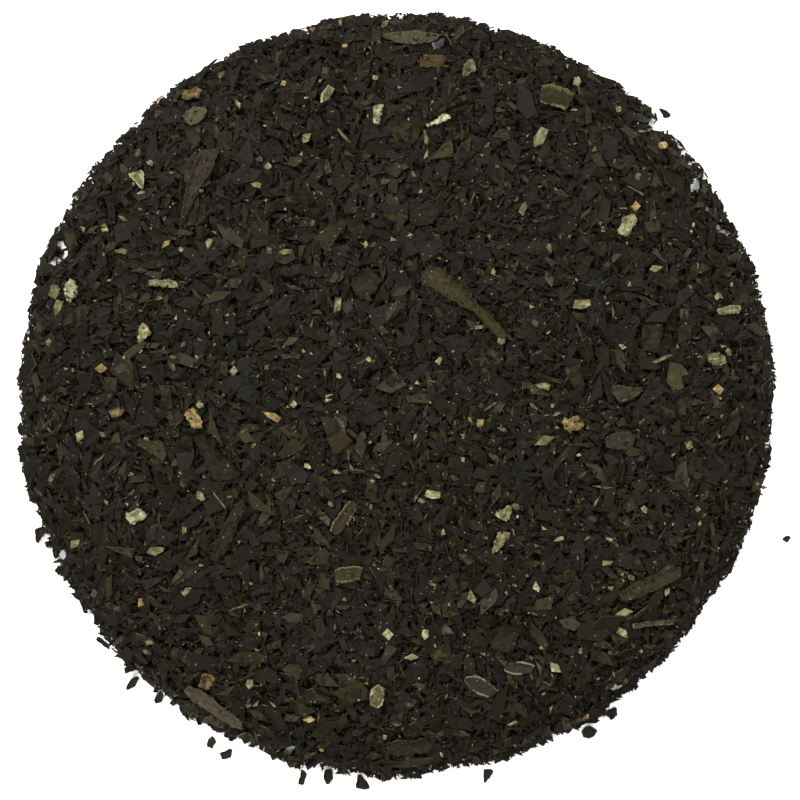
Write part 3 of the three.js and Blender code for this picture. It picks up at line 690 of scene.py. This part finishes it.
def newFlake(kind, x, y, size, draw, heading=None, width=None):
    model = draw.choice(flakeModels[kind])
    return {
        "model": model,
        "size": size,
        "stretch": width / size / model["width"] if width else draw.uniform(0.75, 1.2),
        "heading": draw.uniform(0, 2 * math.pi) if heading is None else math.radians(heading),
        "over": draw.random() < 0.5,
        "place": (x, y, 0),
        "mapShift": (draw.uniform(-90, 90), draw.uniform(-90, 90)),
        # How much its side faces are painted paler, as a paler broken edge and a painted highlight; a tenth
        # of the flakes fully.
        "edge": 1 if draw.random() < 0.1 else draw.uniform(0, 0.25),
    }


layers = {
    # the most flakes, their sizes (evenly between two, or log-normal and kept within two), how much they
    # lean on top of what is under them, their kinds, and where the pile is still too low without one
    "flatUnder": {"most": 4600, "even": (2.2, 4.6), "lean": 0.025, "tooLow": 0.03,
                  "kinds": {"sheet": 0.4, "plate": 0.4, "shard": 0.2}},
    "underEdge": {"most": 3000, "even": (0.7, 2.6), "lean": 0.03, "tooLow": 0.05, "kinds": mixedShares},
    "fill": {"most": 30000, "logNormal": (0.58, 0.42), "within": (0.8, 4), "lean": 0.13, "tooLow": 0.36,
             "kinds": mixedShares},
    "broad": {"most": 700, "even": (2.4, 5.2), "lean": 0.05, "kinds": {"sheet": 0.65, "shard": 0.35}},
    "cover": {"most": 2600, "even": (0.8, 2.8), "lean": 0.12,
              "kinds": {"plate": 0.25, "shard": 0.38, "splinter": 0.32, "curl": 0.05}},
    "paleChips": {"most": 190, "logNormal": (0.05, 0.3), "within": (0.1, 9), "lean": 0.2,
                  "kinds": {"chunk": 0.4, "shard": 0.4, "splinter": 0.2}},
    "specks": {"most": 6500, "even": (0.25, 0.8), "lean": 0.3, "kinds": {"speck": 1}},
    "paleSpecks": {"most": 600, "logNormal": (-0.65, 0.35), "within": (0.1, 9), "lean": 0.3,
                   "kinds": {"speck": 1}},
}


def sizeIn(layer, draw):
    if "even" in layer:
        return draw.uniform(*layer["even"])
    smallest, largest = layer["within"]
    return min(largest, max(smallest, draw.lognormvariate(*layer["logNormal"])))


def dropFlakes(name, wanted, draw):
    # Drops flakes at points of the grid where one is wanted, until few are or enough have come to rest.
    layer = layers[name]
    kinds, shares = list(layer["kinds"]), list(layer["kinds"].values())
    jitter = 0.48 * gridStep
    placed = []
    while len(placed) < layer["most"]:
        low = np.argwhere(wanted())
        before = len(placed)
        tries = min(len(low) // 14 + 20, layer["most"] - len(placed)) if len(low) > 50 else 0
        for _ in range(tries):
            column, row = low[draw.randrange(len(low))]
            kind = draw.choices(kinds, shares)[0]
            x = gridLine[column] + draw.uniform(-jitter, jitter)
            y = gridLine[row] + draw.uniform(-jitter, jitter)
            flake = newFlake(kind, x, y, sizeIn(layer, draw), draw)
            if restFlake(flake, draw, layer["lean"]):
                placed.append(flake)
        if len(placed) - before < 4:
            break
    print(name + ":", len(placed))
    return placed


def joinFlakes(name, flakes, finish):
    counts = [len(flake["model"]["points"]) for flake in flakes]
    starts = np.cumsum([0] + counts[:-1])
    points = np.concatenate([placedPoints(flake) for flake in flakes]) * mm
    triangles = np.concatenate([flake["model"]["triangles"] + start for flake, start in zip(flakes, starts)])
    # Per flake, how much its side faces are painted paler: a paler broken edge and a painted highlight.
    edges = np.concatenate([flake["model"]["edges"] * flake["edge"] for flake in flakes])
    tones = np.repeat([flake["tone"] for flake in flakes], counts)
    places = np.concatenate([flake["model"]["points"][:, :2] * flake["size"] + flake["mapShift"]
                             for flake in flakes])
    mesh = bpy.data.meshes.new(name)
    mesh.vertices.add(len(points))
    mesh.vertices.foreach_set("co", points.astype(np.float32).ravel())
    mesh.loops.add(triangles.size)
    mesh.loops.foreach_set("vertex_index", triangles.astype(np.int32).ravel())
    mesh.polygons.add(len(triangles))
    mesh.polygons.foreach_set("loop_start", np.arange(0, triangles.size, 3, dtype=np.int32))
    flakeMap = mesh.uv_layers.new(name="flake")
    flakeMap.data.foreach_set("uv", places[triangles.ravel()].astype(np.float32).ravel())
    setTones(mesh, tones.astype(np.float32), edges.astype(np.float32))
    mesh.update(calc_edges=True)
    piece = bpy.data.objects.new(name, mesh)
    bpy.context.scene.collection.objects.link(piece)
    # Flakes turned over are mirrored, so their faces are turned outwards again.
    startPiece()
    piece.select_set(True)
    bpy.context.view_layer.objects.active = piece
    bpy.ops.object.mode_set(mode="EDIT")
    bpy.ops.mesh.select_all(action="SELECT")
    bpy.ops.mesh.normals_make_consistent(inside=False)
    bpy.ops.mesh.faces_shade_flat()
    bpy.ops.object.mode_set(mode="OBJECT")
    finishPiece(piece, finish, ("flake_bed",))
    print(name + ":", len(flakes), "flakes,", len(triangles), "triangles")


core = {
    "radius": 44,
    "cells": 88,
    "depth": 1.25,  # of flakes over it
    "lowest": 0.75,
    "underside": 0.5,
    "rough": 0.25,
}


def coreTop(x, y):
    return np.maximum(core["lowest"], bedTop(x, y) - core["depth"])


def modelCore():
    # The inside of the bed, which only shows between flakes. It gets the darkest flake colour, which is
    # painted shade for the gaps between flakes.
    startPiece()
    bpy.ops.mesh.primitive_grid_add(x_subdivisions=core["cells"], y_subdivisions=core["cells"],
                                    size=2 * core["radius"])
    piece = bpy.context.object
    piece.name = "bed_core"
    bpy.ops.object.mode_set(mode="EDIT")
    if selectWhere(lambda vertex: vertex.co.to_2d().length > core["radius"]):
        bpy.ops.mesh.delete(type="VERT")
    bpy.ops.mesh.select_all(action="SELECT")
    bpy.ops.transform.vertex_random(offset=0.3, uniform=0, normal=0, seed=4)
    bpy.ops.mesh.extrude_region_move(TRANSFORM_OT_translate={"value": (0, 0, 2)})
    bpy.ops.object.mode_set(mode="OBJECT")
    for vertex in piece.data.vertices:
        x, y, z = vertex.co
        rough = core["rough"] * math.sin(3 * x) * math.sin(2.7 * y)
        vertex.co.z = (float(coreTop(x, y)) if z > 1 else core["underside"]) + rough
    asTriangles()
    mesh = piece.data
    # Tone 0, the darkest: painted shade where the core shows in the gaps between flakes.
    setTones(mesh, [0] * len(mesh.vertices), [0] * len(mesh.polygons))
    mesh.uv_layers[0].name = "flake"
    mesh.transform(Matrix.Scale(mm, 4))
    finishPiece(piece, "darkBrown", ("flake_bed",))


# Smaller features that the photo shows, each one flake: kind, finish, tone and then rows of
# x, y, length, width and turn in degrees.
shownBits = [
    ("shard", "olive", 0.35, [
        (-18.1, -14.6, 5.6, 2, -38), (-24, -4.9, 5.4, 1.6, -67), (-38.2, -25.8, 4.1, 1.4, 80),
        (36.3, 33.1, 3, 2, 60), (-36, 3.3, 3, 2.5, 0), (2.6, -7.7, 2, 1.8, 80),
        (0.5, 22.7, 4.3, 1.3, 80), (36.5, -5.2, 2.5, 1.4, 90), (-7.6, 21.6, 2, 1.6, 20),
        (-1.9, -23.6, 2, 1.8, 10), (23.5, -7.2, 2.5, 1.8, 0), (10.7, -12.5, 2, 1.4, 30),
    ]),
    ("plate", "grey", 0.3, [
        (-27.4, 27.9, 2.5, 1.8, 90), (-2.4, -7.3, 2.9, 1.4, 25), (36.5, 2.7, 2.7, 1.8, -25),
        (-1.9, -34.4, 2.7, 2.3, 90), (19.5, 40.3, 4, 0.7, -29), (-32.1, 15.5, 2.3, 1.8, 10),
        (22.3, -30.6, 2.7, 2, 0), (39.3, 24.6, 1.8, 1.6, 0),
    ]),
    ("plate", "brown", 0.3, [
        (-26.9, 33.1, 2.5, 2, -35), (-7.6, -6.4, 3.8, 2.5, 0), (19.1, 43.5, 2.5, 2.3, 0),
        (1.9, -49.2, 6.4, 1.9, 2), (35.4, -32.2, 2.5, 1.4, 0), (-3.5, -48.2, 2, 1.4, 0),
        (-0.7, 28.6, 1.8, 1.7, 0), (28, -16, 2.4, 1.6, 70),
    ]),
    ("splinter", "pale", 0.3, [
        (14.3, -39.5, 6.8, 0.7, 8), (-23.5, -14.3, 3.9, 0.3, -54), (34.4, 4.2, 3.6, 0.6, 22),
        (4.6, 1.2, 2.4, 0.2, -15), (26.6, -12.6, 3, 0.25, -12), (25.8, -14.6, 2.4, 0.3, 60),
        (-21, -28.3, 3.1, 0.25, 20), (9.6, 25.2, 2.7, 0.2, 70), (12, -2, 2.6, 0.2, 35),
        (-11.5, 8.5, 2.2, 0.3, 75), (-39.3, -9, 2.6, 0.25, 40), (31, 26.2, 3.1, 0.25, -30),
    ]),
    ("chunk", "pale", 0.45, [
        (-9.5, 38.9, 2.7, 1.1, 60), (16.2, 23.9, 2.3, 1.1, 50), (3.5, 33.1, 2, 0.6, -75),
        (-7.2, 33.3, 2.5, 0.5, -50), (18.4, 33.3, 3, 1.4, 65), (-44.8, 11, 2.3, 1.4, 90),
        (-8, 11.3, 2.5, 0.9, 80), (10.5, 8.4, 1.8, 0.7, 0), (23.9, 11.3, 2.5, 1.4, 10),
        (18.9, 0.6, 2, 1.1, 0), (19.1, -6.5, 2.7, 1.4, 20), (-42.7, -20, 1.8, 1.4, 0),
        (29.3, -31.7, 2, 1.1, -15), (-31.9, -20.9, 2.3, 1.4, 0), (9.5, -27.1, 1.6, 1.5, 0),
        (-36.3, 18.2, 1.9, 0.9, 0), (-45.4, 13.1, 2, 1.4, 80), (28.7, -16.7, 1.4, 1.1, 0),
    ]),
    ("chunk", "pale", 0.58, [
        (-17.1, 29.3, 1.1, 1, 0), (-12.1, 33.2, 1.6, 1.5, 0), (-3.1, 41, 0.8, 0.7, 0),
        (-14.8, 18.2, 1.9, 0.7, 10), (-32.6, 29.8, 0.9, 0.9, 0), (-18.6, 26.9, 1.4, 0.9, 0),
        (-24.8, 19.3, 1.4, 0.9, 90), (-17.6, 28.8, 1, 1, 0), (-41.8, -5.9, 2, 1.1, 60),
        (-21.7, 2.7, 1.4, 1.3, 0), (-30.3, -7, 1.4, 0.9, 90), (-25.9, -13.8, 1.4, 1.3, 0),
        (-7.8, 1.9, 0.9, 0.8, 0), (-9.2, -0.8, 1.4, 1.2, 0), (-13.9, -1.6, 1.2, 1.1, 0),
        (4.4, -13.6, 2.3, 1.1, 0), (13.4, 6.5, 1.1, 1, 0), (-11.9, -9.9, 1.2, 0.8, 0),
        (5.3, 4, 1.4, 0.9, 90), (39.1, -15.5, 0.9, 0.9, 0), (33.6, 16, 1.6, 1.1, 0),
        (18, -25.7, 1.3, 1.2, 0), (35, -26.4, 1.6, 0.7, 60), (29.5, -29, 2.3, 1.1, 10),
        (20.3, -36.2, 1.8, 1.6, 90), (-1.6, -31.9, 2, 1.4, 90), (3.4, -31.8, 1.4, 0.9, 90),
        (1.7, -34.9, 1.8, 0.9, 0), (-27.7, -26.1, 1.8, 0.9, 60), (-19.6, -38.3, 1.4, 0.9, 90),
        (23.5, 40.8, 1.4, 1.1, 90), (28.9, 37, 0.9, 0.9, 0), (21, -19.4, 1.4, 0.6, 25),
        (27.2, -22.4, 1.9, 0.8, -10), (31.7, -25.6, 1.4, 0.7, 20),
    ]),
    ("chunk", "tan", 0.6, [
        (-38.9, 2.9, 1.6, 1.4, 0), (-16.6, -3.4, 2.5, 1.1, -20), (10.5, -4.2, 1.6, 1.1, 40),
        (41.7, 0.1, 1.8, 1.4, 90), (-11.7, -43, 1.6, 0.9, 0), (-33.8, -27.7, 1.4, 0.9, 90),
        (34.9, 32.4, 1.6, 1.1, 30), (30.9, 24.3, 1.6, 1.4, 0), (-15.2, 40.3, 1.2, 0.8, 20),
        (12.3, 15.6, 1.1, 0.8, 60),
    ]),
    ("shard", "darkGreen", 0.55, [
        (-24.5, -46, 2.5, 0.9, 60), (-25.7, -45.4, 1.6, 0.4, 20), (-24.3, -45, 1.8, 0.6, 70),
        (-26.5, -44.2, 2.3, 0.5, 90), (-27.5, -43.4, 1.1, 0.7, 0), (-28.6, -42.4, 1.4, 1.2, 0),
        (-48.2, -16.8, 1.5, 1.1, 90), (45.5, -20.8, 2.6, 2.3, 90), (29, -41.2, 1.7, 1.4, 90),
        (8.8, -49.8, 0.9, 0.8, 0), (10.2, 49.6, 2.5, 2, 90), (21.7, 44.9, 1.8, 1.2, 110),
        (34.8, 35.4, 1.7, 0.8, 0), (36.6, 34.8, 1.6, 0.8, -30), (27.7, 41.3, 0.8, 0.7, 0),
        (38, 32.4, 1.1, 0.7, -40), (-48.7, 13.1, 0.9, 0.8, 0), (-43.6, -25.9, 1.1, 0.7, 20),
    ]),
]


def placeShownBits(draw):
    placed = []
    for kind, finish, tone, rows in shownBits:
        for x, y, length, width, turn in rows:
            flake = newFlake(kind, x, y, length, draw, turn, width)
            if not restFlake(flake, draw, 0.08):
                continue
            flake.update(finish=finish, tone=tone + draw.uniform(-0.14, 0.06))
            part, inside, _, _ = underFlake(flake)
            pile["ceiling"][part][inside] = 0  # nothing comes to rest on it
            placed.append(flake)
    return placed


# Everything is built from here on.

addCamera()
addLights()
plainFloor()
for finish in finishes:
    driedFrond(finish)
modelAllFlakes()

planes, underLarge = {}, np.full(gridX.shape, np.inf)
for node in largePieces:
    hits = heightsOf(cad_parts[node], True)
    planes[node] = restingPlane(hits)
    for column, row, height in hits:
        underLarge[column, row] = height
draw = random.Random(5)
large = [addLargePiece(node, planes[node], draw) for node in largePieces]
print("larger pieces:", len(large), "with", sum(len(p.data.polygons) for p in large), "triangles")

modelCore()
distance = np.hypot(gridX, gridY)
rim = rimAt(gridX, gridY)
inBed = distance < rim
target = np.where(inBed, bedTop(gridX, gridY), 0)


def setCeiling(room):
    # No flake's top comes to rest above this, and none at all on a bare spot. Those have ragged outlines.
    reach = rim + 0.25 + 0.6 * looseness(gridX, gridY)
    pile["ceiling"] = np.minimum(np.where(distance < reach, target + room, 0), underLarge)
    wobble = 0.65 + 0.4 * np.sin(4 * gridX + 7 * gridY) * np.sin(6 * gridX - 3 * gridY)
    for x, y, radius in bareSpots:
        pile["ceiling"][np.hypot(gridX - x, gridY - y) < radius * wobble] = 0


# The underside lies flat on the surface. The rest is piled from the core up.
setCeiling(bed["room"]["bed"])
draw = random.Random(8)
overCore = distance < core["radius"]
nearEdge = inBed & (distance > core["radius"] - 2)
under = dropFlakes("flatUnder", lambda: overCore & (pile["heights"] < layers["flatUnder"]["tooLow"]), draw)
under += dropFlakes("underEdge", lambda: nearEdge & (pile["heights"] < layers["underEdge"]["tooLow"]), draw)
heights = pile["heights"]
pile["heights"] = np.where(overCore, np.maximum(heights, coreTop(gridX, gridY)), heights)
aim = np.minimum(target, underLarge)
fill = dropFlakes("fill", lambda: aim - pile["heights"] > layers["fill"]["tooLow"], draw)
setCeiling(bed["room"]["broad"])
broad = dropFlakes("broad", lambda: inBed, draw)
setCeiling(bed["room"]["top"])
shown = placeShownBits(draw)
print("shown:", len(shown))
cover = dropFlakes("cover", lambda: inBed, draw)
paleChips = dropFlakes("paleChips", lambda: inBed, draw)

# Crumbs lie on everything, on the larger pieces too.
for piece in large:
    for column, row, height in heightsOf(piece, False):
        pile["heights"][column, row] = max(pile["heights"][column, row], height)
        pile["ceiling"][column, row] = height + (0.8 if draw.random() < 0.85 else 0)  # some spots stay clear
specks = dropFlakes("specks", lambda: inBed, draw)
paleSpecks = dropFlakes("paleSpecks", lambda: inBed, draw)


def isSeen(flake):
    part, inside, dx, dy = underFlake(flake)
    own = flake["place"][2] + flake["slopes"][0] * dx + flake["slopes"][1] * dy
    if distance[part][inside].max() > bed["radius"] - bed["looseEdge"]:
        return True
    return (pile["heights"][part][inside] - own < bed["seenDepth"]).any()


# Each flake gets a colour, and flakes that lie too deep to be seen are taken out again.
seen = [flake for flake in fill if isSeen(flake)]
print("seen:", len(seen))
colours = {
    "shares": {"darkGreen": 0.37, "darkBrown": 0.25, "darkGrey": 0.2,
               "olive": 0.09, "brown": 0.04, "grey": 0.05},
    "tone": (0.28, 0.13),  # the usual one, and how far flakes stray from it
    "paleTones": (0.12, 0.62),
    "tanShare": 0.16,  # of the pale ones
}
mostTriangles = 190000  # in one joined piece
groups = {name: [] for name in finishes}
names, shares = list(colours["shares"]), list(colours["shares"].values())
for flake in seen + under + broad + cover + specks:
    flake["tone"] = min(0.95, max(0, draw.gauss(*colours["tone"])))
    groups[draw.choices(names, shares)[0]].append(flake)
for flake in paleSpecks + paleChips:
    flake["tone"] = draw.uniform(*colours["paleTones"])
    groups["tan" if draw.random() < colours["tanShare"] else "pale"].append(flake)
for flake in shown:
    groups[flake["finish"]].append(flake)
for name, flakes in groups.items():
    count = math.ceil(sum(len(f["model"]["triangles"]) for f in flakes) / mostTriangles)
    for index in range(count):
        joinFlakes("bed_flakes_%s_%d" % (name, index + 1), flakes[index::count], name)
